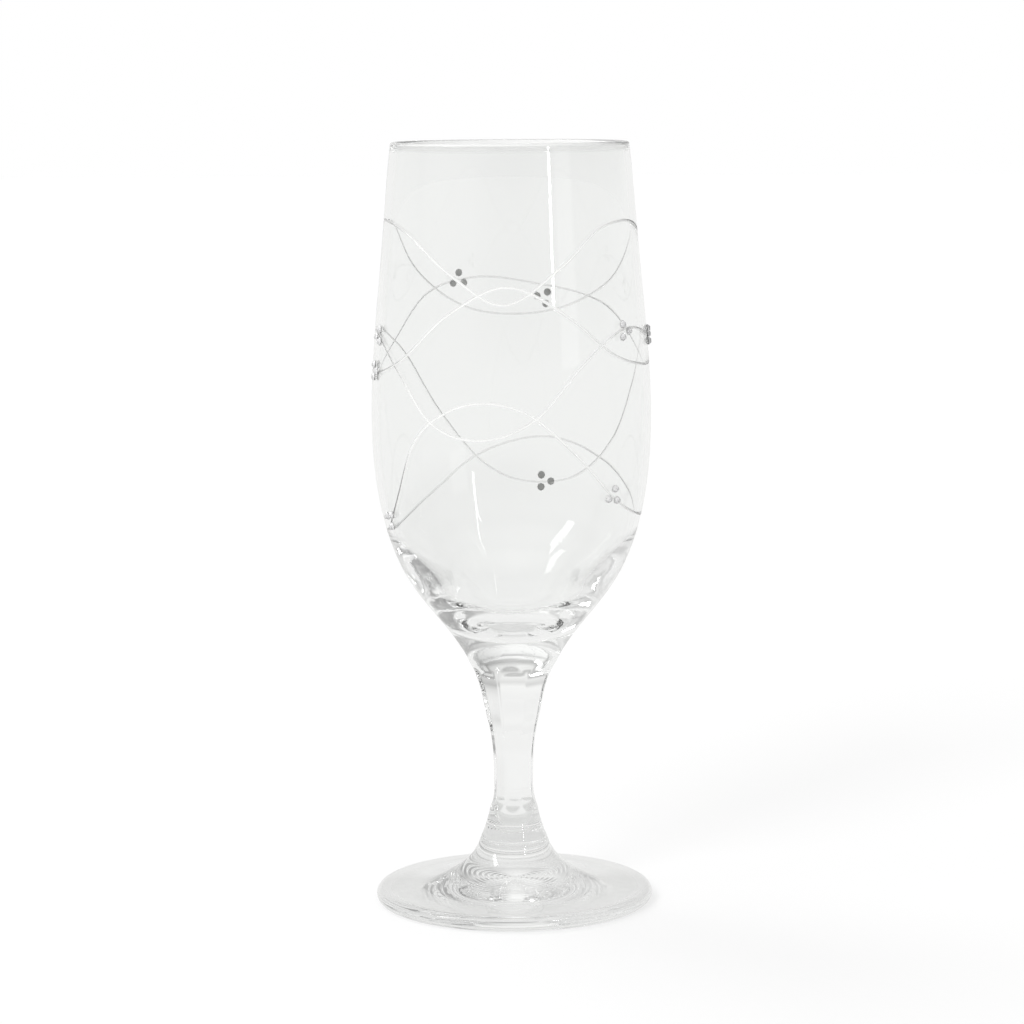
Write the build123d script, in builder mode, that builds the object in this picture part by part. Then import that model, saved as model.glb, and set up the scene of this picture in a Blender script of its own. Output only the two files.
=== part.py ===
# Stemmed tulip flute of clear glass: a blown bowl, a stem with ground flats and a round foot, fused
# end to end, with small flat-backed stones glued to the bowl in threes.
# The origin is the centre of the circle that the foot stands on. Angles round the glass are in degrees
# from -Y, towards +X. Outlines are drawn in the XZ plane and turned about Z.

import os
from math import atan2, cos, degrees, radians, sin

from build123d import *

# Driving dimensions, in millimetres
total_height = 187.0
foot_joint_height = 15.5  # where the foot's collar meets the stem
bowl_joint_height = 62.0  # where the stem meets the bowl's underside

rim_diameter = 57.8
belly_diameter = 68.1
belly_rise = 56.0  # each rise on the bowl is measured up from the bowl joint
shoulder_diameter = 61.8
shoulder_rise = 31.5
base_diameter = 50.4
base_rise = 18.0
bowl_joint_diameter = 23.8
wall = 1.5
base_wall = 4.0  # measured level at the base, where the wall thickens into the floor
floor_thickness = 6.8  # solid glass under the middle of the inside

waist_diameter = 10.5
waist_rise = 16.0  # each rise on the stem is measured up from the foot joint
flare_diameter = 15.6
flare_rise = 34.5
foot_joint_diameter = 16.6
flat_count = 8
flat_depth = 0.5  # ground off the round stem at its waist
flat_start_rise = 7.6
flat_end_drop = 2.0  # from the bowl joint down to where the flats run out
seam_rounding = 0.5  # of the stem and the foot beside the foot joint

foot_diameter = 68.4
foot_edge = 3.6  # thickness of the foot's rounded edge
foot_dome = 1.4  # hollow under the middle of the foot
contact_ring_width = 2.6

stone_diameter = 2.0
stone_height = 0.95
girdle_height = 0.25
table_diameter = 1.0
facet_count = 8
stone_spacing = 3.0  # between the centres of the three stones of a group
glue_thickness = 0.1
glue_inset = 0.1  # from the edge of a stone in to the edge of its glue
seat_margin = 0.12  # from the edge of a stone out to the edge of its seat
seat_depth = 0.06  # of the seat's ground flat under the middle of a stone

# Groups of three stones: angle round the glass, share of the bowl's height, and turn of the triangle
stone_groups = [
    (-69, 0.632, 20),
    (-72, 0.564, -30),
    (-63, 0.280, 50),
    (58, 0.644, -25),
    (91, 0.626, 90),
    (50, 0.332, 10),
    (168, 0.308, 30),
    (208, 0.720, 0),
    (168, 0.682, -40),
]

# Derived sizes
bowl_height = total_height - bowl_joint_height
base_height = bowl_joint_height + base_rise
shoulder_height = bowl_joint_height + shoulder_rise
belly_height = bowl_joint_height + belly_rise
lip_height = total_height - wall / 2
neck_height = belly_height + 0.63 * (lip_height - belly_height)
neck_radius = (0.45 * belly_diameter + 0.55 * rim_diameter) / 2
waist_height = foot_joint_height + waist_rise

# Slopes of the outlines, as steps outwards and up
lip_slope = (-0.12, 1)
base_inside_slope = (0.8, 1)
joint_slope = (0.57, 1)  # shared by the bowl and the stem where they meet
flare_slope = (0.28, 1)
foot_joint_slope = (-0.5, 1)
upright = (0, 1)

os.makedirs("parts", exist_ok=True)


def save(part, label):
    part.label = label
    export_step(part, f"parts/{label}.step")


def level(outline, height):
    """Radius of an outline at a height, and its lean outwards in degrees from upright."""
    low, high = 0.0, 1.0
    while high - low > 1e-7:
        middle = (low + high) / 2
        if (outline @ middle).Y < height:
            low = middle
        else:
            high = middle
    slope = outline % low
    return (outline @ low).X, degrees(atan2(slope.X, slope.Y))


def wall_slope(height):
    """Direction of the bowl's wall at a height, which its inside follows."""
    lean = radians(level(outside, height)[1])
    return sin(lean), cos(lean)


def seat_plane(angle, height):
    """The ground flat under one stone, facing straight out of the bowl's wall."""
    radius, lean = level(outside, height)
    around = Vector(sin(radians(angle)), -cos(radians(angle)), 0)
    outward = around * cos(radians(lean)) - Vector(0, 0, sin(radians(lean)))
    middle = around * radius + Vector(0, 0, height) - outward * seat_depth
    return Plane(origin=middle, x_dir=around.cross(Vector(0, 0, 1)), z_dir=outward)


def group_seats(angle, share, turn):
    """The seats of one group of stones, at the corners of an even triangle."""
    height = bowl_joint_height + share * bowl_height
    radius = level(outside, height)[0]
    reach = stone_spacing / 3**0.5
    corners = [radians(turn + 120 * corner) for corner in range(3)]
    sideways = [degrees(reach * sin(corner) / radius) for corner in corners]
    upwards = [reach * cos(corner) for corner in corners]
    return [seat_plane(angle + side, height + up) for side, up in zip(sideways, upwards)]


# Bowl: a thin wall on a thick solid bottom, with a ground flat under each stone
outside = Spline(
    (bowl_joint_diameter / 2, bowl_joint_height),
    (base_diameter / 2, base_height),
    (shoulder_diameter / 2, shoulder_height),
    (belly_diameter / 2, belly_height),
    (neck_radius, neck_height),
    (rim_diameter / 2, lip_height),
    tangents=[joint_slope, lip_slope],
)
thin_wall_heights = [shoulder_height, belly_height, neck_height, lip_height]
seats = [group_seats(*group) for group in stone_groups]
turned_from_left = Plane((0, 0, 0), x_dir=(-1, 0, 0), z_dir=(0, 1, 0))  # seam clear of the stones

with BuildPart() as bowl:
    with BuildSketch(turned_from_left):
        with BuildLine():
            add(outside)
            inside = Spline(
                (0, bowl_joint_height + floor_thickness),
                (base_diameter / 2 - base_wall, base_height),
                (shoulder_diameter / 2 - wall, shoulder_height),
                (belly_diameter / 2 - wall, belly_height),
                (neck_radius - wall, neck_height),
                (rim_diameter / 2 - wall, lip_height),
                tangents=[(1, 0), base_inside_slope, *map(wall_slope, thin_wall_heights)],
            )
            lip_top = (rim_diameter / 2 - wall / 2, total_height)
            ThreePointArc(outside @ 1, lip_top, inside @ 1)
            Polyline(inside @ 0, (0, bowl_joint_height), outside @ 0)
        make_face()
    revolve(axis=Axis.Z)
    for seat in sum(seats, []):
        with BuildSketch(seat):
            Circle(stone_diameter / 2 + seat_margin)
    extrude(amount=wall, mode=Mode.SUBTRACT)

save(bowl.part, "bowl")

# Stem: round, with flats ground along it that fade out into the round at both ends
stem_side = Spline(
    (foot_joint_diameter / 2, foot_joint_height),
    (waist_diameter / 2, waist_height),
    (flare_diameter / 2, foot_joint_height + flare_rise),
    (bowl_joint_diameter / 2, bowl_joint_height),
    tangents=[foot_joint_slope, upright, flare_slope, joint_slope],
)
flat_start = foot_joint_height + flat_start_rise
flat_end = bowl_joint_height - flat_end_drop
flat_middle = (waist_height + flat_end) / 2
flat_middle_slope = (0.25, 1)

with BuildPart() as flat:
    with BuildSketch(Plane.XZ):
        with BuildLine():
            flat_line = Spline(
                (level(stem_side, flat_start)[0], flat_start),
                (waist_diameter / 2 - flat_depth, waist_height),
                (level(stem_side, flat_middle)[0] - flat_depth, flat_middle),
                (level(stem_side, flat_end)[0], flat_end),
                tangents=[(-0.6, 1), upright, flat_middle_slope, (0.85, 1)],
            )
            clear_of_stem = bowl_joint_diameter
            Polyline(
                flat_line @ 0,
                (clear_of_stem, flat_start),
                (clear_of_stem, flat_end),
                flat_line @ 1,
            )
        make_face()
    extrude(amount=bowl_joint_diameter / 2, both=True)

with BuildPart() as stem:
    with BuildSketch(Plane.XZ):
        with BuildLine():
            add(stem_side)
            Polyline(
                stem_side @ 1, (0, bowl_joint_height), (0, foot_joint_height), stem_side @ 0
            )
        make_face()
    revolve(axis=Axis.Z)
    with PolarLocations(0, flat_count):
        add(flat.part, mode=Mode.SUBTRACT)
    fillet(stem.edges().group_by(Axis.Z)[0], seam_rounding)

save(stem.part, "stem")

# Foot: a round plate with a rounded edge, rising to the collar, hollow underneath
foot_radius = foot_diameter / 2
contact_radius = foot_radius - foot_edge / 3

with BuildPart() as foot:
    with BuildSketch(Plane.XZ):
        with BuildLine():
            contact_inner = (contact_radius - contact_ring_width, 0)
            dome_middle = (contact_inner[0] / 2, foot_dome * 0.75)
            ThreePointArc((0, foot_dome), dome_middle, contact_inner)
            Line(contact_inner, (contact_radius, 0))
            edge = ThreePointArc(
                (contact_radius, 0),
                (foot_radius, foot_edge / 2),
                (foot_radius - foot_edge / 2, foot_edge),
            )
            top = Spline(
                edge @ 1,
                (foot_joint_diameter / 2 + 5, foot_edge + 0.4 * (foot_joint_height - foot_edge)),
                (foot_joint_diameter / 2, foot_joint_height),
                tangents=[(-1, 0.12), (-0.25, 1)],
            )
            Polyline(top @ 1, (0, foot_joint_height), (0, foot_dome))
        make_face()
    revolve(axis=Axis.Z)
    fillet(foot.edges().group_by(Axis.Z)[-1], seam_rounding)

save(foot.part, "foot")

# Stones: each has a round-cut crown over a thin girdle, and its foiled flat back sits in glue
for group, group_of_seats in enumerate(seats, start=1):
    for place, seat in enumerate(group_of_seats, start=1):
        back = seat.offset(glue_thickness)
        girdle_top = back.offset(girdle_height)

        with BuildPart() as glue:
            with BuildSketch(seat):
                Circle(stone_diameter / 2 - glue_inset)
            extrude(amount=glue_thickness)
        save(glue.part, f"glue_{group}_{place}")

        with BuildPart() as stone:
            with BuildSketch(back):
                RegularPolygon(stone_diameter / 2, facet_count)
            extrude(amount=girdle_height)
            with BuildSketch(girdle_top):
                RegularPolygon(stone_diameter / 2, facet_count)
            with BuildSketch(back.offset(stone_height)):
                RegularPolygon(table_diameter / 2, facet_count)
            loft()
        save(stone.part, f"stone_{group}_{place}")
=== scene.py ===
import bpy
import numpy as np
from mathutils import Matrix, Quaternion, Vector


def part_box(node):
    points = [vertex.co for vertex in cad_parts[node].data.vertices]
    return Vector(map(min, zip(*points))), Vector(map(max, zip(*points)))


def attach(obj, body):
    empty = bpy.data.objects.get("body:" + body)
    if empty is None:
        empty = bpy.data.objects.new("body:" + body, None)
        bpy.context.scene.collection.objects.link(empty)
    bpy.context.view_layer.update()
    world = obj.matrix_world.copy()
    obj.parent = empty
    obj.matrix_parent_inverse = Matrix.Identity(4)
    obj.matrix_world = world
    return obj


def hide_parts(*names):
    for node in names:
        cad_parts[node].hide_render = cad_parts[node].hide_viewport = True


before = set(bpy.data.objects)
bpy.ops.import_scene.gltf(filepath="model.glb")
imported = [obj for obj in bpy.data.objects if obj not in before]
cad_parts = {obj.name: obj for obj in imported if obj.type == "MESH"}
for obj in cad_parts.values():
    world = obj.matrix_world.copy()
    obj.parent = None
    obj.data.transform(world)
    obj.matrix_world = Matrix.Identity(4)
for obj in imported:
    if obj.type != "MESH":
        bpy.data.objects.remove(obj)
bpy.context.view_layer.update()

mm = 0.001
body = "root"


# A shader socket as a value: plain expressions on it add Math nodes
class Wire:
    def __init__(self, tree, socket=None):
        self.tree = tree
        self.socket = socket  # none on the sheet that a material starts from

    def node(self, kind, settings, values):
        # settings are set first, then the values or wires of the sockets
        made = self.tree.nodes.new(kind)
        for name, value in settings.items():
            if name == "stops":
                setStops(made.color_ramp, value)
            else:
                setattr(made, name, value)
        for name, value in values.items():
            if isinstance(value, Wire):
                value.into(made, name)
            else:
                made.inputs[name].default_value = value
        return Wire(self.tree, made.outputs[0])

    def output(self, name):
        # another output of the same node
        return Wire(self.tree, self.socket.node.outputs[name])

    def into(self, node, name):
        self.tree.links.new(self.socket, node.inputs[name])

    def maths(self, operation, first, second):
        return self.node("ShaderNodeMath", {"operation": operation}, {0: first, 1: second})

    def __add__(self, other):
        return self.maths("ADD", self, other)

    def __radd__(self, other):
        return self.maths("ADD", other, self)

    def __sub__(self, other):
        return self.maths("SUBTRACT", self, other)

    def __rsub__(self, other):
        return self.maths("SUBTRACT", other, self)

    def __mul__(self, other):
        return self.maths("MULTIPLY", self, other)

    def __rmul__(self, other):
        return self.maths("MULTIPLY", other, self)

    def __pow__(self, other):
        return self.maths("POWER", self, other)


def setStops(ramp, stops):
    for index, (place, colour) in enumerate(stops):
        stop = ramp.elements[index] if index < 2 else ramp.elements.new(place)
        stop.position = place
        stop.color = (*colour, 1)


def mixColours(sheet, factor, first, second, blend="MIX"):
    settings = {"data_type": "RGBA", "blend_type": blend}
    return sheet.node("ShaderNodeMix", settings, {"Factor": factor, 6: first, 7: second}).output(2)


def newMaterial(name, settings):
    # settings are the sockets of the surface shader that stay the same all over
    material = bpy.data.materials.new(name)
    material.use_nodes = True
    surface = material.node_tree.nodes["Principled BSDF"]
    for socket, value in settings.items():
        surface.inputs[socket].default_value = value
    return material, Wire(material.node_tree), surface


# Curves and outlines, in millimetres: first value outwards, second value up
def smoothRun(start, end, leaving, arriving, share):
    # leaving and arriving are the slopes at the ends, times the length of the run
    left = 1 - share
    return (
        start * (1 + 2 * share) * left**2
        + end * share**2 * (3 - 2 * share)
        + leaving * share * left**2
        - arriving * share**2 * left
    )


def curveThrough(points, slopes, steps=60):
    # one smooth run through the points; a slope of None is left to the run
    points = np.array(points, float)
    spans = np.linalg.norm(np.diff(points, axis=0), axis=1)
    matrix = np.eye(len(points))
    wanted = np.zeros((len(points), 2))
    for index, slope in enumerate(slopes):
        if slope is not None:
            wanted[index] = np.array(slope) / np.linalg.norm(slope)
            continue
        before, after = spans[index - 1], spans[index]
        matrix[index, index - 1:index + 2] = after, 2 * (before + after), before
        rise = points[index] - points[index - 1]
        following = points[index + 1] - points[index]
        wanted[index] = 3 * (rise * after / before + following * before / after)
    tangents = np.linalg.solve(matrix, wanted)
    share = np.linspace(0, 1, steps, endpoint=False)[:, None]
    runs = [
        smoothRun(points[i], points[i + 1], tangents[i] * span, tangents[i + 1] * span, share)
        for i, span in enumerate(spans)
    ]
    return np.concatenate(runs + [points[-1:]])


def radiusAt(outline, height):
    return np.interp(height, outline[:, 1], outline[:, 0])


def slopeAt(outline, height, step=0.05):
    # how far the outline leans outwards for each millimetre up
    low = np.clip(height - step, outline[0, 1], outline[-1, 1])
    high = np.clip(height + step, outline[0, 1], outline[-1, 1])
    return (radiusAt(outline, high) - radiusAt(outline, low)) / (high - low)


def arc(centre, radius, start, end, steps):
    angles = np.radians(np.linspace(start, end, steps))
    return np.stack([centre[0] + radius * np.cos(angles), centre[1] + radius * np.sin(angles)], 1)


def threePointArc(start, middle, end, steps):
    start, middle, end = np.array([start, middle, end], float)
    chords = 2 * np.array([middle - start, end - start])
    centre = np.linalg.solve(chords, [middle @ middle - start @ start, end @ end - start @ start])
    first, last = [np.degrees(np.arctan2(*(point - centre)[::-1])) for point in (start, end)]
    return arc(centre, np.hypot(*(start - centre)), first, last, steps)


# Places on the glass: angle in degrees from -Y towards +X
def onGlass(angle, radius, height):
    turn = np.radians(angle)
    return np.stack([radius * np.sin(turn), -radius * np.cos(turn), height], -1)


def turnedSkin(profile, columns):
    # one row of points round the axis for each point of the profile
    angle = np.arange(columns) * 360 / columns
    height = np.broadcast_to(profile[:, 1:], (len(profile), columns))
    return onGlass(angle[None], profile[:, :1], height).reshape(-1, 3)


def facing(place, angle, height, low, high, step=0.02, roughRadius=30.0):
    # outward direction of a surface that reaches from low to high; the step is in millimetres
    height = np.clip(height, low + 1.5 * step, high - 1.5 * step)
    turn = np.degrees(step / roughRadius)
    across = place(angle + turn, height) - place(angle - turn, height)
    upward = place(angle, height + step) - place(angle, height - step)
    out = np.cross(across, upward)
    return out / np.linalg.norm(out, axis=-1, keepdims=True)


def rings(rows, columns):
    # quads between neighbouring rows of a closed tube, seen from outside as the rows go up
    grid = np.arange(rows * columns).reshape(rows, columns)
    right = np.roll(grid, -1, axis=1)
    return np.stack([grid[:-1], right[:-1], right[1:], grid[1:]], -1).reshape(-1, 4).tolist()


def closedTube(rows, columns):
    # the rings, then a flat face at the bottom and one at the top
    top = (rows - 1) * columns
    return rings(rows, columns) + [list(range(columns))[::-1], list(range(top, top + columns))]


def newPiece(name, points, faces, materials, faceSlots, replaced, normals=None, sharpAngle=28):
    # points in millimetres; without normals, edges that turn more than the sharp angle stay crisp
    mesh = bpy.data.meshes.new(name)
    mesh.from_pydata((np.asarray(points) * mm).tolist(), [], faces)
    for material in materials:
        mesh.materials.append(material)
    mesh.polygons.foreach_set("material_index", np.asarray(faceSlots, dtype=np.int32))
    mesh.shade_smooth()
    if normals is None:
        mesh.set_sharp_from_angle(angle=np.radians(sharpAngle))
    else:
        mesh.normals_split_custom_set_from_vertices(np.asarray(normals).tolist())
    piece = bpy.data.objects.new(name, mesh)
    bpy.context.scene.collection.objects.link(piece)
    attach(piece, body)
    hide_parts(replaced)
    return piece


# Materials; a grain is its size in millimetres, the lowest roughness and what the grain adds to it
glassFinish = {
    "glass": {
        "Base Color": (0.985, 0.99, 0.986, 1),
        "Transmission Weight": 1.0,
        "IOR": 1.52,
        "Roughness": 0.0,
    },
    "rippleSize": 9.0,  # millimetres between the faint ripples that blowing leaves
    "pressedRippleSize": 4.5,
    "rippleHeight": 0.010,
    "rippleStretch": (1, 1, 0.35),
    "wrinkleSize": 2.6,  # closer wrinkles in the thick base, fading out between these heights
    "wrinkleHeight": 0.022,
    "wrinkleStretch": (0.6, 0.6, 1.6),
    "wrinklesFade": (70.0, 82.0),
    "matt": {  # the cut lines and the lip
        "Base Color": (1, 1, 0.995, 1),
        "Transmission Weight": 0.55,
        "IOR": 1.35,
        "Roughness": 0.4,
    },
    "mattShare": 0.6,
    "mattSpread": 0.6,  # below 1, a cut stays matt nearly out to its edges
    "fused": {"Alpha": 0.0},
    "stone": {
        "Base Color": (0.98, 0.98, 0.985, 1),
        "Transmission Weight": 0.6,
        "IOR": 1.6,
    },
    "stoneGrain": (0.4, 0.0, 0.04),
    "foil": {"Base Color": (0.98, 0.98, 0.985, 1), "Metallic": 0.1},
    "foilGrain": (0.4, 0.05, 0.2),
    "lacquer": {"Base Color": (0.08, 0.08, 0.085, 1)},
    "lacquerGrain": (0.4, 0.2, 0.3),
    "glue": {
        "Base Color": (0.94, 0.94, 0.925, 1),
        "Transmission Weight": 0.5,
        "IOR": 1.5,
    },
    "glueGrain": (0.5, 0.2, 0.3),
}


def onObject(sheet):
    return sheet.node("ShaderNodeTexCoord", {}, {}).output("Object")


def ripples(sheet, size, stretch):
    # soft noise over the glass, drawn out by the stretch along X, Y and Z
    place = sheet.node("ShaderNodeVectorMath", {"operation": "MULTIPLY"}, {0: onObject(sheet), 1: stretch})
    values = {"Vector": place, "Scale": 1 / (size * mm), "Detail": 1.0}
    return sheet.node("ShaderNodeTexNoise", {}, values)


def raiseBy(sheet, surface, height):
    # height in millimetres
    bump = sheet.node("ShaderNodeBump", {}, {"Height": height, "Strength": 1.0, "Distance": mm})
    bump.into(surface, "Normal")


def makeBlownGlass():
    finish = glassFinish
    material, sheet, surface = newMaterial("blownGlass", finish["glass"])
    low, high = finish["wrinklesFade"]
    height = sheet.node("ShaderNodeSeparateXYZ", {}, {"Vector": onObject(sheet)}).output("Z")
    aboveBase = sheet.node(
        "ShaderNodeMapRange", {}, {"Value": height, "From Min": low * mm, "From Max": high * mm},
    )
    soft = ripples(sheet, finish["rippleSize"], finish["rippleStretch"]) * finish["rippleHeight"]
    wrinkles = ripples(sheet, finish["wrinkleSize"], finish["wrinkleStretch"]) * finish["wrinkleHeight"]
    raiseBy(sheet, surface, soft + wrinkles * (1 - aboveBase))
    matt = sheet.node("ShaderNodeBsdfPrincipled", {}, finish["matt"])
    mask = sheet.node("ShaderNodeAttribute", {"attribute_name": "matt"}, {}).output("Fac")
    clear = Wire(sheet.tree, surface.outputs[0])
    factor = mask ** finish["mattSpread"] * finish["mattShare"]
    both = sheet.node("ShaderNodeMixShader", {}, {0: factor, 1: clear, 2: matt})
    both.into(sheet.tree.nodes["Material Output"], "Surface")
    return material


def makePressedGlass():
    finish = glassFinish
    material, sheet, surface = newMaterial("pressedGlass", finish["glass"])
    soft = ripples(sheet, finish["pressedRippleSize"], finish["rippleStretch"]) * finish["rippleHeight"]
    raiseBy(sheet, surface, soft)
    return material


def makeFusedJoint():
    # the joint is inside solid glass, so nothing shows there
    return newMaterial("fusedJoint", glassFinish["fused"])[0]


def roughen(sheet, surface, grain):
    size, lowest, added = grain
    noise = sheet.node("ShaderNodeTexNoise", {}, {"Vector": onObject(sheet), "Scale": 1 / (size * mm)})
    (lowest + added * noise).into(surface, "Roughness")


def makeStoneCrystal():
    material, sheet, surface = newMaterial("stoneCrystal", glassFinish["stone"])
    roughen(sheet, surface, glassFinish["stoneGrain"])  # handling marks
    return material


def makeStoneFoil():
    material, sheet, surface = newMaterial("stoneFoil", glassFinish["foil"])
    roughen(sheet, surface, glassFinish["foilGrain"])
    return material


def makeStoneLacquer():
    material, sheet, surface = newMaterial("stoneLacquer", glassFinish["lacquer"])
    roughen(sheet, surface, glassFinish["lacquerGrain"])
    return material


def makeGlue():
    material, sheet, surface = newMaterial("clearGlue", glassFinish["glue"])
    roughen(sheet, surface, glassFinish["glueGrain"])
    return material


blownGlass = makeBlownGlass()
pressedGlass = makePressedGlass()
fusedJoint = makeFusedJoint()
stoneCrystal = makeStoneCrystal()
stoneFoil = makeStoneFoil()
stoneLacquer = makeStoneLacquer()
clearGlue = makeGlue()
print("materials made")


# Bowl
bowlShape = {
    "rimDiameter": 57.8,
    "bellyDiameter": 68.1,
    "bellyRise": 56.0,
    "neckShare": 0.63,  # place of the neck between belly and lip, and how far it has narrowed by then
    "neckNarrowing": 0.55,
    "shoulderDiameter": 61.8,
    "shoulderRise": 31.5,
    "baseDiameter": 50.4,
    "baseRise": 18.0,
    "jointDiameter": 23.8,
    "wall": 1.5,
    "baseWall": 4.0,
    "floorThickness": 6.8,
    "jointSlope": (0.57, 1),
    "baseInsideSlope": (0.8, 1),
    "lipSlope": (-0.12, 1),
    "lipMatt": 0.7,  # the melted lip is softer than the polished wall
    "lipSteps": 12,
    "insideStep": 4,  # points of the inside outline from one row to the next
    "columns": 160,  # round the glass, before the cut lines refine them
    "cellHeight": 1.35,
    "finest": 8,  # parts that a cell side is split into beside a cut line
    "cutMargin": 1.2,  # cells are split this many half widths from a line, plus their own reach
    "cellReach": 0.75,
}

# Each cut line closes on itself: angle round the glass, and rise above the bowl joint
cutLines = {
    "halfWidth": 0.29,
    "depth": 0.13,
    "angleStep": 0.25,
    "slantRadius": 33.0,  # radius that turns an angle into a length when the slant is worked out
    "waves": [
        [  # upper wave
            (-79, 106.5), (-47, 103.2), (-23, 94.3), (0, 87.6), (25, 96.0), (46, 104.7), (61, 106.4),
            (100, 101.0), (132, 89.5), (173, 81.3), (201, 82.5), (233, 92.8), (258, 104.0),
        ],
        [  # middle wave
            (-77, 70.0), (-48, 74.0), (-23, 85.4), (1, 91.7), (29, 84.0), (49, 75.5), (69, 72.3),
            (88, 72.0), (104, 74.5), (133, 83.9), (169, 88.6), (203, 90.4), (227, 86.6), (248, 76.6),
        ],
        [  # deep swag
            (-69, 79.0), (-48, 70.3), (-31, 59.7), (-11, 56.0), (12, 60.5), (33, 72.9), (56, 80.7),
            (79, 79.5), (100, 74.5), (114, 65.4), (133, 49.5), (147, 42.0), (168, 38.3), (197, 43.7),
            (214, 55.0), (237, 71.6), (258, 78.0),
        ],
        [  # lower wave
            (-63, 34.5), (-51, 42.5), (-41, 53.5), (-23, 62.5), (-6, 64.7), (10, 62.0), (28, 53.1),
            (50, 41.2), (75, 35.6), (92, 34.8), (115, 39.1), (137, 44.8), (168, 49.9), (198, 45.5),
            (222, 37.2), (252, 31.1), (275, 30.8),
        ],
    ],
}

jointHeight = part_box("bowl")[0][2] / mm
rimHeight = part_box("bowl")[1][2] / mm
lipHeight = rimHeight - bowlShape["wall"] / 2
shoulderHeight = jointHeight + bowlShape["shoulderRise"]
bellyHeight = jointHeight + bowlShape["bellyRise"]
neckHeight = bellyHeight + bowlShape["neckShare"] * (lipHeight - bellyHeight)
narrowing = bowlShape["neckNarrowing"] * (bowlShape["bellyDiameter"] - bowlShape["rimDiameter"])
neckDiameter = bowlShape["bellyDiameter"] - narrowing

outside = curveThrough(
    [
        (bowlShape["jointDiameter"] / 2, jointHeight),
        (bowlShape["baseDiameter"] / 2, jointHeight + bowlShape["baseRise"]),
        (bowlShape["shoulderDiameter"] / 2, shoulderHeight),
        (bowlShape["bellyDiameter"] / 2, bellyHeight),
        (neckDiameter / 2, neckHeight),
        (bowlShape["rimDiameter"] / 2, lipHeight),
    ],
    [bowlShape["jointSlope"], None, None, None, None, bowlShape["lipSlope"]],
)


def makeInside():
    thinHeights = [shoulderHeight, bellyHeight, neckHeight, lipHeight]
    thin = [(radiusAt(outside, height) - bowlShape["wall"], height) for height in thinHeights]
    start = (0, jointHeight + bowlShape["floorThickness"])
    baseRadius = bowlShape["baseDiameter"] / 2 - bowlShape["baseWall"]
    base = (baseRadius, jointHeight + bowlShape["baseRise"])
    slopes = [(slopeAt(outside, height), 1) for height in thinHeights]
    return curveThrough([start, base, *thin], [(1, 0), bowlShape["baseInsideSlope"], *slopes])


inside = makeInside()


def waveTable(points):
    # height all round the glass, smooth through the points and closed
    angles, rises = np.array(points, float).T
    turns, picks = np.divmod(np.arange(-2, len(angles) + 2), len(angles))
    angle = angles[picks] + 360 * turns
    rise = rises[picks]
    slope = np.gradient(rise, angle)
    grid = np.arange(angles[0], angles[0] + 360, cutLines["angleStep"])
    i = np.searchsorted(angle, grid, side="right") - 1
    span = angle[i + 1] - angle[i]
    share = (grid - angle[i]) / span
    return grid, jointHeight + smoothRun(rise[i], rise[i + 1], slope[i] * span, slope[i + 1] * span, share)


waves = [waveTable(points) for points in cutLines["waves"]]


def cutDistance(angle, height):
    # distance over the glass to the nearest cut line
    nearest = np.full(np.shape(angle), np.inf)
    lengthOfDegree = np.radians(1) * cutLines["slantRadius"]
    for grid, heights in waves:
        turned = (angle - grid[0]) % 360 + grid[0]
        along = np.interp(turned, grid, heights)
        slant = np.interp(turned, grid, np.gradient(heights, grid)) / lengthOfDegree
        nearest = np.minimum(nearest, np.abs(height - along) / np.sqrt(1 + slant * slant))
    return nearest


def cutDepth(angle, height):
    share = np.clip(cutDistance(angle, height) / cutLines["halfWidth"], 0, 1)
    return cutLines["depth"] * 0.5 * (1 + np.cos(np.pi * share))


def bowlOutside(angle, height):
    lean = slopeAt(outside, height)
    inward = cutDepth(angle, height) / np.sqrt(1 + lean * lean)
    return onGlass(angle, radiusAt(outside, height) - inward, height + inward * lean)


def splitCells(columns, rows, finest):
    # square cells, quartered again and again where a cut line passes
    grid = np.meshgrid(np.arange(columns), np.arange(rows), indexing="ij")
    cells = np.stack(grid, -1).reshape(-1, 2) * finest
    rise = (lipHeight - jointHeight) / (rows * finest)
    margin = cutLines["halfWidth"] * bowlShape["cutMargin"]
    size = finest
    kept = []
    while size > 1:
        angle = (cells[:, 0] + size / 2) * 360 / (columns * finest)
        height = jointHeight + (cells[:, 1] + size / 2) * rise
        near = cutDistance(angle, height) < margin + size * rise * bowlShape["cellReach"]
        kept.append((cells[~near], size))
        size //= 2
        corners = np.array([(0, 0), (size, 0), (0, size), (size, size)])
        cells = (cells[near][:, None] + corners[None]).reshape(-1, 2)
    kept.append((cells, 1))
    return kept


def joinCells(kept, across):
    # number of each corner, and faces that take in the corners of smaller neighbours
    corners = {}
    for cells, size in kept:
        for x, y in cells.tolist():
            right = (x + size) % across
            for corner in ((x, y), (right, y), (right, y + size), (x, y + size)):
                corners.setdefault(corner, len(corners))
    faces = []
    for cells, size in kept:
        for x, y in cells.tolist():
            right = (x + size) % across
            loop = [((x + step) % across, y) for step in range(size)]
            loop += [(right, y + step) for step in range(size)]
            loop += [((x + size - step) % across, y + size) for step in range(size)]
            loop += [(x, y + size - step) for step in range(size)]
            faces.append([corners[corner] for corner in loop if corner in corners])
    return corners, faces


def joinRows(top, base):
    # quads from the uppermost corners of the outside to the first row of the lip
    count = len(top)
    return [[top[i], top[(i + 1) % count], base + (i + 1) % count, base + i] for i in range(count)]


def makeLip():
    wall = bowlShape["wall"]
    centre = (bowlShape["rimDiameter"] / 2 - wall / 2, lipHeight)
    return arc(centre, wall / 2, 0, 180, bowlShape["lipSteps"])[1:]


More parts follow.
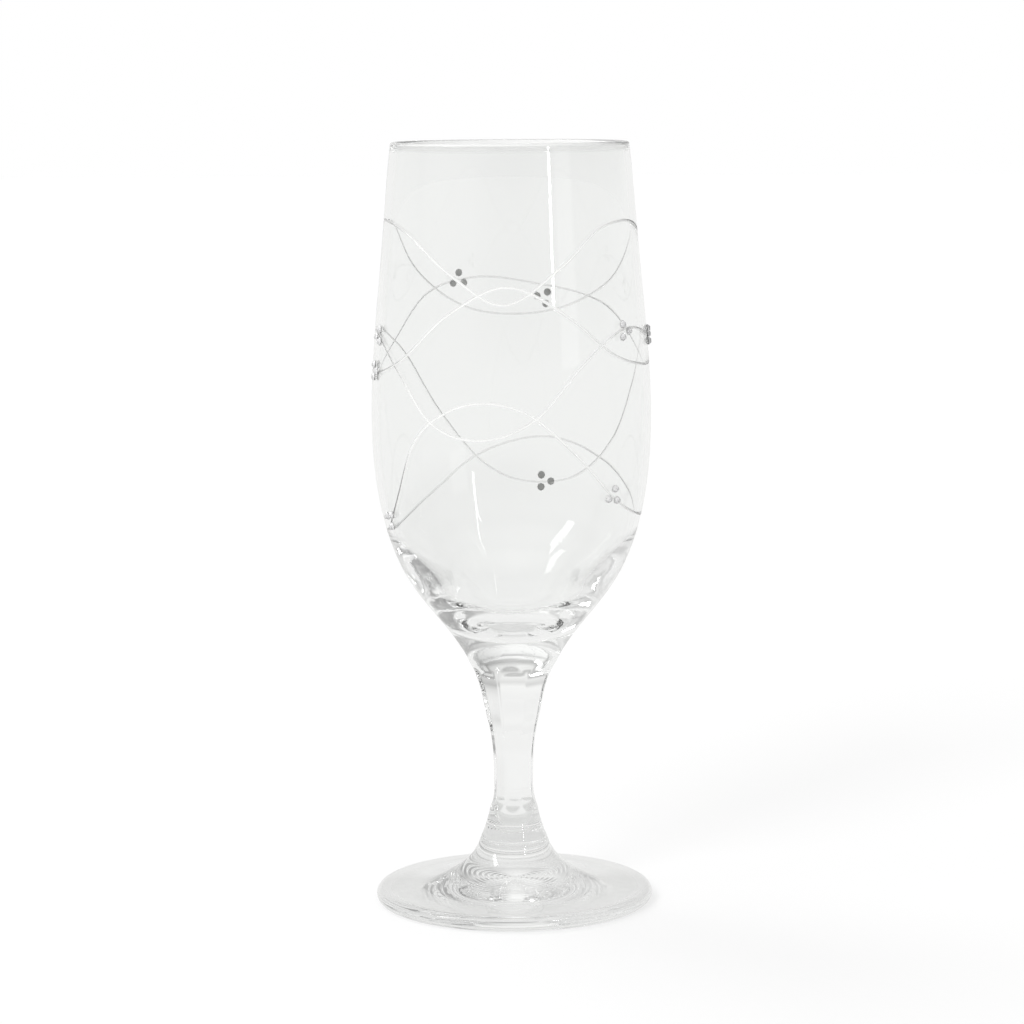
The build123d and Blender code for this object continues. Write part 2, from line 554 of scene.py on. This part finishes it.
def makeBowl():
    columns, finest = bowlShape["columns"], bowlShape["finest"]
    rows = round((lipHeight - jointHeight) / bowlShape["cellHeight"])
    across, upward = columns * finest, rows * finest
    corners, faces = joinCells(splitCells(columns, rows, finest), across)
    places = np.array(list(corners))
    angle = places[:, 0] * 360 / across
    height = jointHeight + places[:, 1] * (lipHeight - jointHeight) / upward
    outerPoints = bowlOutside(angle, height)
    outerNormals = facing(bowlOutside, angle, height, jointHeight, lipHeight)

    # over the lip and down the inside, to one point in the middle of the floor
    lip = makeLip()
    profile = np.concatenate([lip, inside[::-bowlShape["insideStep"]][1:-1]])
    run = np.gradient(profile, axis=0)
    out = np.stack([run[:, 1], -run[:, 0]], 1) / np.linalg.norm(run, axis=1, keepdims=True)
    base = len(outerPoints)
    floorPoint = base + len(profile) * columns
    faces += joinRows([corners[(i * finest, upward)] for i in range(columns)], base)
    faces += [[base + corner for corner in face] for face in rings(len(profile), columns)]
    last = floorPoint - columns
    faces += [[last + i, last + (i + 1) % columns, floorPoint] for i in range(columns)]
    bottom = sorted((corner for corner in corners if corner[1] == 0), reverse=True)
    faces.append([corners[corner] for corner in bottom])

    points = np.concatenate([outerPoints, turnedSkin(profile, columns), [(0, 0, inside[0, 1])]])
    normals = np.concatenate([outerNormals, turnedSkin(out, columns), [(0, 0, 1)]])
    slots = [0] * (len(faces) - 1) + [1]
    bowl = newPiece(
        "bowlGlass", points, faces, [blownGlass, fusedJoint], slots, "bowl", normals=normals,
    )
    matt = np.zeros(len(points), dtype=np.float32)
    matt[:base] = cutDepth(angle, height) / cutLines["depth"]
    matt[base:base + len(lip) * columns] = bowlShape["lipMatt"]
    bowl.data.attributes.new("matt", "FLOAT", "POINT").data.foreach_set("value", matt)
    return bowl


bowl = makeBowl()
print("bowl made", len(bowl.data.polygons), "faces")


# Stem
stemShape = {
    "waistDiameter": 10.5,
    "waistRise": 16.0,
    "flareDiameter": 15.6,
    "flareRise": 34.5,
    "footJointDiameter": 16.6,
    "footJointSlope": (-0.5, 1),
    "flareSlope": (0.28, 1),
    "flats": 8,
    "flatDepth": 0.5,
    "flatStartRise": 7.6,
    "flatEndDrop": 2.0,
    "flatStartSlope": (-0.6, 1),
    "flatMiddleSlope": (0.25, 1),
    "flatEndSlope": (0.85, 1),
    "flatStartRunOut": (6.0, -10.0),  # past its ends a flat runs outwards, clear of the round stem
    "flatEndRunOut": (8.5, 10.0),
    "ridgeSharpness": 110.0,
    "seamRounding": 0.5,
    "seamSteps": 6,
    "columnsPerFlat": 16,
    "rowHeight": 0.28,
}

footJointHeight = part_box("stem")[0][2] / mm
waistHeight = footJointHeight + stemShape["waistRise"]
upright = (0, 1)
stemSide = curveThrough(
    [
        (stemShape["footJointDiameter"] / 2, footJointHeight),
        (stemShape["waistDiameter"] / 2, waistHeight),
        (stemShape["flareDiameter"] / 2, footJointHeight + stemShape["flareRise"]),
        (bowlShape["jointDiameter"] / 2, jointHeight),
    ],
    [stemShape["footJointSlope"], upright, stemShape["flareSlope"], bowlShape["jointSlope"]],
)


def makeFlatLine():
    shape = stemShape
    start = footJointHeight + shape["flatStartRise"]
    end = jointHeight - shape["flatEndDrop"]
    middle = (waistHeight + end) / 2
    line = curveThrough(
        [
            (radiusAt(stemSide, start), start),
            (shape["waistDiameter"] / 2 - shape["flatDepth"], waistHeight),
            (radiusAt(stemSide, middle) - shape["flatDepth"], middle),
            (radiusAt(stemSide, end), end),
        ],
        [shape["flatStartSlope"], upright, shape["flatMiddleSlope"], shape["flatEndSlope"]],
    )
    return np.concatenate([[line[0] + shape["flatStartRunOut"]], line, [line[-1] + shape["flatEndRunOut"]]])


flatLine = makeFlatLine()


def seamDrop(distance, rounding):
    # how far a rounded edge stands back, this far from the joint
    gap = np.clip(rounding - distance, 0, rounding)
    return rounding - np.sqrt(np.maximum(rounding**2 - gap**2, 0))


def stemOutside(angle, height):
    # round and flats blended by a high power, so that the ridges stay crisp but not sharp
    power = stemShape["ridgeSharpness"]
    total = radiusAt(stemSide, height) ** -power
    for flat in range(stemShape["flats"]):
        towards = np.cos(np.radians(angle - 360 * flat / stemShape["flats"]))
        total = total + np.maximum(towards / radiusAt(flatLine, height), 0) ** power
    drop = seamDrop(height - footJointHeight, stemShape["seamRounding"])
    return onGlass(angle, total ** (-1 / power) - drop, height)


def makeStem():
    # columns crowd towards the ridges, and rows towards the rounded seam
    half = 180 / stemShape["flats"]
    spread = half * np.sin(np.linspace(-0.5, 0.5, stemShape["columnsPerFlat"], endpoint=False) * np.pi)
    angle = np.concatenate([spread + 2 * half * flat for flat in range(stemShape["flats"])])
    rows = round((jointHeight - footJointHeight) / stemShape["rowHeight"])
    bend = np.linspace(0, np.pi / 2, stemShape["seamSteps"])
    seam = footJointHeight + stemShape["seamRounding"] * (1 - np.cos(bend))
    height = np.concatenate([seam[:-1], np.linspace(seam[-1], jointHeight, rows)])
    angles, heights = np.meshgrid(angle, height)
    points = stemOutside(angles, heights)
    normals = facing(stemOutside, angles, heights, footJointHeight, jointHeight)
    faces = closedTube(len(height), len(angle))
    slots = [0] * (len(faces) - 2) + [1, 1]
    return newPiece(
        "stemGlass", points.reshape(-1, 3), faces, [pressedGlass, fusedJoint], slots, "stem",
        normals=normals.reshape(-1, 3),
    )


stem = makeStem()
print("stem made", len(stem.data.polygons), "faces")


# Foot
footShape = {
    "diameter": 68.4,
    "edge": 3.6,
    "contactInset": 1.2,
    "contactRingWidth": 2.6,
    "dome": 1.4,
    "topSlopeStart": (-1, 0.12),
    "topSlopeEnd": (-0.25, 1),
    "collarReach": 5.0,  # how far out from the joint the collar starts, and its share of the rise
    "collarShare": 0.4,
    "seamRounding": 0.5,
    "ringSpacing": 1.1,  # faint turning rings that the mould leaves under the middle
    "ringHeight": 0.06,
    "ringStart": 0.3,
    "ringsWithin": 15.0,
    "rowsPerRing": 8,
    "plainRows": 12,  # from the last ring out to the contact ring
    "contactRows": 4,
    "edgeRows": 15,
    "columns": 192,
}


def makeUnderside(inner):
    within, spacing = footShape["ringsWithin"], footShape["ringSpacing"]
    ringed = np.arange(footShape["ringStart"], within, spacing / footShape["rowsPerRing"])
    radii = np.concatenate([ringed, np.linspace(within, inner, footShape["plainRows"])])
    fade = np.sqrt(np.clip((within - radii) / within, 0, 1))
    ripple = footShape["ringHeight"] * fade * np.cos(2 * np.pi * radii / spacing)
    return np.stack([radii, footShape["dome"] * (1 - (radii / inner) ** 2) + ripple], 1)


def makeFootTop(start):
    jointRadius = stemShape["footJointDiameter"] / 2
    collarHeight = start[1] + footShape["collarShare"] * (footJointHeight - start[1])
    top = curveThrough(
        [start, (jointRadius + footShape["collarReach"], collarHeight), (jointRadius, footJointHeight)],
        [footShape["topSlopeStart"], None, footShape["topSlopeEnd"]],
    )
    top[:, 0] -= seamDrop(footJointHeight - top[:, 1], footShape["seamRounding"])
    return top


def makeFoot():
    radius, edge = footShape["diameter"] / 2, footShape["edge"]
    contact = radius - footShape["contactInset"]
    inner = contact - footShape["contactRingWidth"]
    rows = footShape["contactRows"]
    ring = np.stack([np.linspace(inner, contact, rows + 1)[1:], np.zeros(rows)], 1)
    edgeEnd = (radius - edge / 2, edge)
    side = threePointArc((contact, 0), (radius, edge / 2), edgeEnd, footShape["edgeRows"] + 1)[1:]
    profile = np.concatenate([makeUnderside(inner), ring, side, makeFootTop(edgeEnd)[1:]])
    columns = footShape["columns"]
    faces = closedTube(len(profile), columns)
    slots = [0] * (len(faces) - 1) + [1]
    return newPiece(
        "footGlass", turnedSkin(profile, columns), faces, [pressedGlass, fusedJoint], slots, "foot",
    )


foot = makeFoot()
print("foot made", len(foot.data.polygons), "faces")


# Stones and their glue
stoneShape = {
    "groups": 9,
    "stonesInGroup": 3,
    "diameter": 2.0,
    "height": 0.95,
    "backBevel": 0.12,  # lacquered edge of the silvered back
    "girdle": 0.06,
    "starHeight": 0.62,
    "starDiameter": 1.5,
    "tableDiameter": 0.95,
    "facets": 8,
    "facetAngle": 1,  # degrees, so that every edge between facets stays crisp
    "glueThickness": 0.1,
    "glueInset": 0.1,
    "glueSwell": 0.03,
    "glueColumns": 24,
    "glueAngle": 50,
    "clearance": 0.01,  # keeps glass, glue and foil from sharing one surface
}


def stoneSeat(group, number):
    # middle of the glue, the directions along and out of the glass, and how far the back of the glue
    # lies below the drawn skin, which has no ground seats and strays a little from the CAD outline
    low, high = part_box(f"glue_{group}_{number}")
    centre = (np.array(low) + np.array(high)) / 2 / mm
    angle = np.degrees(np.arctan2(centre[0], -centre[1]))
    sideways = onGlass(angle + 90, 1.0, 0.0)
    outward = onGlass(angle, 1.0, -slopeAt(outside, centre[2]))
    outward /= np.linalg.norm(outward)
    under = centre - outward * stoneShape["glueThickness"] / 2
    depth = (radiusAt(outside, under[2]) - np.hypot(*under[:2])) * np.hypot(*outward[:2])
    return centre, np.stack([sideways, np.cross(outward, sideways), outward]), depth


def turnedRows(radii, heights, offsets, columns):
    # rows of points round the axis of a stone, each row turned by its offset in columns
    turn = 2 * np.pi * (np.arange(columns) + np.array(offsets)[:, None]) / columns
    radii = np.array(radii)[:, None]
    heights = np.array(heights)[:, None] + np.zeros(columns)
    return np.stack([radii * np.cos(turn), radii * np.sin(turn), heights], -1).reshape(-1, 3)


def stoneFaces(facets):
    # back, lacquered edge, girdle, then the kites and triangles of the crown and the table
    faces = [list(range(facets))[::-1]]
    faces += rings(3, facets)
    girdle, star, table = 2 * facets, 3 * facets, 4 * facets
    for i in range(facets):
        after = (i + 1) % facets
        before = (i - 1) % facets
        faces.append([girdle + i, girdle + after, star + i])
        faces.append([girdle + i, star + i, table + i, star + before])
        faces.append([star + i, table + after, table + i])
    faces.append([table + i for i in range(facets)])
    return faces


def makeStone(group, number):
    shape = stoneShape
    radius, bevel, facets = shape["diameter"] / 2, shape["backBevel"], shape["facets"]
    centre, directions, depth = stoneSeat(group, number)
    back = depth + 2 * shape["clearance"]  # what would lie below the drawn skin is left out
    points = turnedRows(
        [radius - bevel, radius, radius, shape["starDiameter"] / 2, shape["tableDiameter"] / 2],
        [back, back + bevel, back + bevel + shape["girdle"], shape["starHeight"], shape["height"]],
        [0, 0, 0, 0.5, 0],
        facets,
    )
    points[:, 2] += shape["glueThickness"] / 2
    faces = stoneFaces(facets)
    slots = [1] + [2] * facets + [0] * (len(faces) - 1 - facets)
    newPiece(
        f"crystal_{group}_{number}", centre + points @ directions, faces,
        [stoneCrystal, stoneFoil, stoneLacquer], slots, f"stone_{group}_{number}",
        sharpAngle=shape["facetAngle"],
    )


def makeGlueBead(group, number):
    shape = stoneShape
    radius = shape["diameter"] / 2 - shape["glueInset"]
    half, columns = shape["glueThickness"] / 2, shape["glueColumns"]
    centre, directions, depth = stoneSeat(group, number)
    points = turnedRows([radius, radius + shape["glueSwell"], radius], [-half, 0, half], [0, 0, 0], columns)
    points[:, 2] += depth + shape["clearance"]
    faces = closedTube(3, columns)
    newPiece(
        f"glueBead_{group}_{number}", centre + points @ directions, faces, [clearGlue], [0] * len(faces),
        f"glue_{group}_{number}", sharpAngle=shape["glueAngle"],
    )


for group in range(1, stoneShape["groups"] + 1):
    for number in range(1, stoneShape["stonesInGroup"] + 1):
        makeStone(group, number)
        makeGlueBead(group, number)
print("stones made")


# Floor, light and camera
studio = {
    "floorSize": 12.0,
    "floor": {
        "Base Color": (0.13, 0.13, 0.13, 1),
        "Roughness": 0.8,
        "Specular IOR Level": 0.1,
        "Emission Strength": 1.0,
    },
    "floorLift": (0.773, 0.773, 0.773, 1),  # the floor's own light, as on a light table
    "floorLiftThroughGlass": (0.668, 0.668, 0.663, 1),
    "aroundGlass": [  # from the camera's side, round the sides, to behind the glass
        (0.0, (0.38, 0.38, 0.38)),
        (0.03, (0.5, 0.5, 0.5)),
        (0.08, (0.70, 0.70, 0.695)),
        (0.3, (0.78, 0.78, 0.775)),
        (0.46, (0.70, 0.70, 0.695)),
        (0.5, (0.45, 0.45, 0.45)),
        (0.54, (0.70, 0.70, 0.695)),
        (0.85, (0.80, 0.80, 0.795)),
        (0.97, (0.96, 0.96, 0.95)),
    ],
    "upwards": [  # how bright each height of the room is, from the horizon to straight above
        (0.0, (1, 1, 1)),
        (0.14, (1, 1, 1)),
        (0.22, (0.78, 0.78, 0.78)),
        (0.4, (0.95, 0.95, 0.95)),
        (0.52, (0.55, 0.55, 0.55)),
        (0.62, (0.6, 0.6, 0.6)),
        (0.72, (1.35, 1.35, 1.35)),
    ],
    "sideways": [  # from the left wall to the right one
        (0.0, (1.08, 1.08, 1.08)),
        (0.5, (1, 1, 1)),
        (0.62, (0.82, 0.82, 0.82)),
        (0.9, (0.5, 0.5, 0.5)),
    ],
    "horizon": (0.893, 0.893, 0.888, 1),  # the wall starts as bright as the floor, so no edge shows
    "horizonHeight": (0.03, 0.16),
    "backdrop": (1, 1, 1, 1),  # what the camera sees straight
    "aimHeight": 0.12,
    "softboxes": {  # these show in the glass as streaks
        "stripLight": {
            "azimuth": 40, "elevation": 22, "distance": 0.7, "size": (0.012, 0.34), "power": 0.35,
        },
        "sideLight": {"azimuth": 54, "elevation": 8, "distance": 1.5, "size": (0.42, 0.3), "power": 0.16},
        "leafLight": {"azimuth": -67, "elevation": 42, "distance": 1.0, "size": (0.16, 0.45), "power": 1.2},
    },
    "skylights": {  # these only light the floor evenly, for a soft shadow
        "shadowLight": {"azimuth": -130, "elevation": 50, "spread": 35, "power": 2.0},
        "fillLight": {"azimuth": -30, "elevation": 35, "spread": 20, "power": 2.5},
    },
    "viewTransform": "Standard",
    "lightPaths": {  # thick glass needs more than the usual number of reflections
        "max_bounces": 40,
        "diffuse_bounces": 12,
        "glossy_bounces": 28,
        "transmission_bounces": 28,
        "transparent_max_bounces": 24,
    },
}

cameraPlace = {
    "azimuth": 3.2,  # degrees to the right of the front
    "distance": 0.782,
    "height": 0.2019,
    "tilt": 7.66,
    "roll": 0.38,
    "lens": 113.2,
    "sensorWidth": 36.0,
    "clipStart": 0.01,
}


def seenStraight(sheet):
    # 1 where the camera sees something straight, 0 in reflections and through the glass
    return sheet.node("ShaderNodeLightPath", {}, {}).output("Is Camera Ray")


def makeFloor():
    half = studio["floorSize"] / 2
    corners = [(-half, -half, 0), (half, -half, 0), (half, half, 0), (-half, half, 0)]
    mesh = bpy.data.meshes.new("floor")
    mesh.from_pydata(corners, [], [(0, 1, 2, 3)])
    material, sheet, surface = newMaterial("paperFloor", studio["floor"])
    lift = mixColours(sheet, seenStraight(sheet), studio["floorLiftThroughGlass"], studio["floorLift"])
    lift.into(surface, "Emission Color")
    mesh.materials.append(material)
    floor = bpy.data.objects.new("floor", mesh)
    bpy.context.scene.collection.objects.link(floor)


def rampColour(sheet, stops, value):
    return sheet.node("ShaderNodeValToRGB", {"stops": stops}, {"Fac": value})


def makeWorld():
    world = bpy.data.worlds.new("studioWorld")
    bpy.context.scene.world = world
    world.use_nodes = True
    sheet = Wire(world.node_tree)
    direction = sheet.node("ShaderNodeTexCoord", {}, {}).output("Generated")
    rightward = sheet.node("ShaderNodeSeparateXYZ", {}, {"Vector": direction})
    backward, upward = rightward.output("Y"), rightward.output("Z")
    room = rampColour(sheet, studio["aroundGlass"], 0.5 + 0.5 * backward)
    room = mixColours(sheet, 1.0, room, rampColour(sheet, studio["upwards"], upward), "MULTIPLY")
    sides = rampColour(sheet, studio["sideways"], 0.5 + 0.5 * rightward)
    room = mixColours(sheet, 1.0, room, sides, "MULTIPLY")
    low, high = studio["horizonHeight"]
    rise = sheet.node("ShaderNodeMapRange", {}, {"Value": upward, "From Min": low, "From Max": high})
    room = mixColours(sheet, 1 - rise, room, studio["horizon"])
    shown = mixColours(sheet, seenStraight(sheet), room, studio["backdrop"])
    shown.into(world.node_tree.nodes["Background"], "Color")


def makeLamp(name, kind, light):
    # the lamp shines from its azimuth (degrees from -Y towards +X) and elevation
    data = bpy.data.lights.new(name, kind)
    data.energy = light["power"]
    lamp = bpy.data.objects.new(name, data)
    turn, tip = np.radians(light["azimuth"]), np.radians(light["elevation"])
    way = Vector((np.sin(turn) * np.cos(tip), -np.cos(turn) * np.cos(tip), np.sin(tip)))
    lamp.rotation_mode = "QUATERNION"
    lamp.rotation_quaternion = way.to_track_quat("Z", "Y")
    lamp.visible_camera = False
    bpy.context.scene.collection.objects.link(lamp)
    return lamp


def makeSoftbox(name, light):
    lamp = makeLamp(name, "AREA", light)
    lamp.data.shape = "RECTANGLE"
    lamp.data.size, lamp.data.size_y = light["size"]
    away = lamp.rotation_quaternion @ Vector((0, 0, light["distance"]))
    lamp.location = Vector((0, 0, studio["aimHeight"])) + away


def makeSkylight(name, light):
    lamp = makeLamp(name, "SUN", light)
    lamp.data.angle = np.radians(light["spread"])
    lamp.visible_glossy = False
    lamp.visible_transmission = False


def makeCamera():
    data = bpy.data.cameras.new("camera")
    data.lens = cameraPlace["lens"]
    data.sensor_width = cameraPlace["sensorWidth"]
    data.clip_start = cameraPlace["clipStart"]
    camera = bpy.data.objects.new("camera", data)
    turn, tilt = np.radians(cameraPlace["azimuth"]), np.radians(cameraPlace["tilt"])
    distance = cameraPlace["distance"]
    camera.location = (distance * np.sin(turn), -distance * np.cos(turn), cameraPlace["height"])
    back = Vector((np.sin(turn) * np.cos(tilt), -np.cos(turn) * np.cos(tilt), np.sin(tilt)))
    roll = Quaternion(back, np.radians(-cameraPlace["roll"]))
    camera.rotation_mode = "QUATERNION"
    camera.rotation_quaternion = roll @ back.to_track_quat("Z", "Y")
    bpy.context.scene.collection.objects.link(camera)
    bpy.context.scene.camera = camera


makeFloor()
makeWorld()
for name, light in studio["softboxes"].items():
    makeSoftbox(name, light)
for name, light in studio["skylights"].items():
    makeSkylight(name, light)
makeCamera()
bpy.context.scene.view_settings.view_transform = studio["viewTransform"]
for name, value in studio["lightPaths"].items():
    setattr(bpy.context.scene.cycles, name, value)
print("studio made")
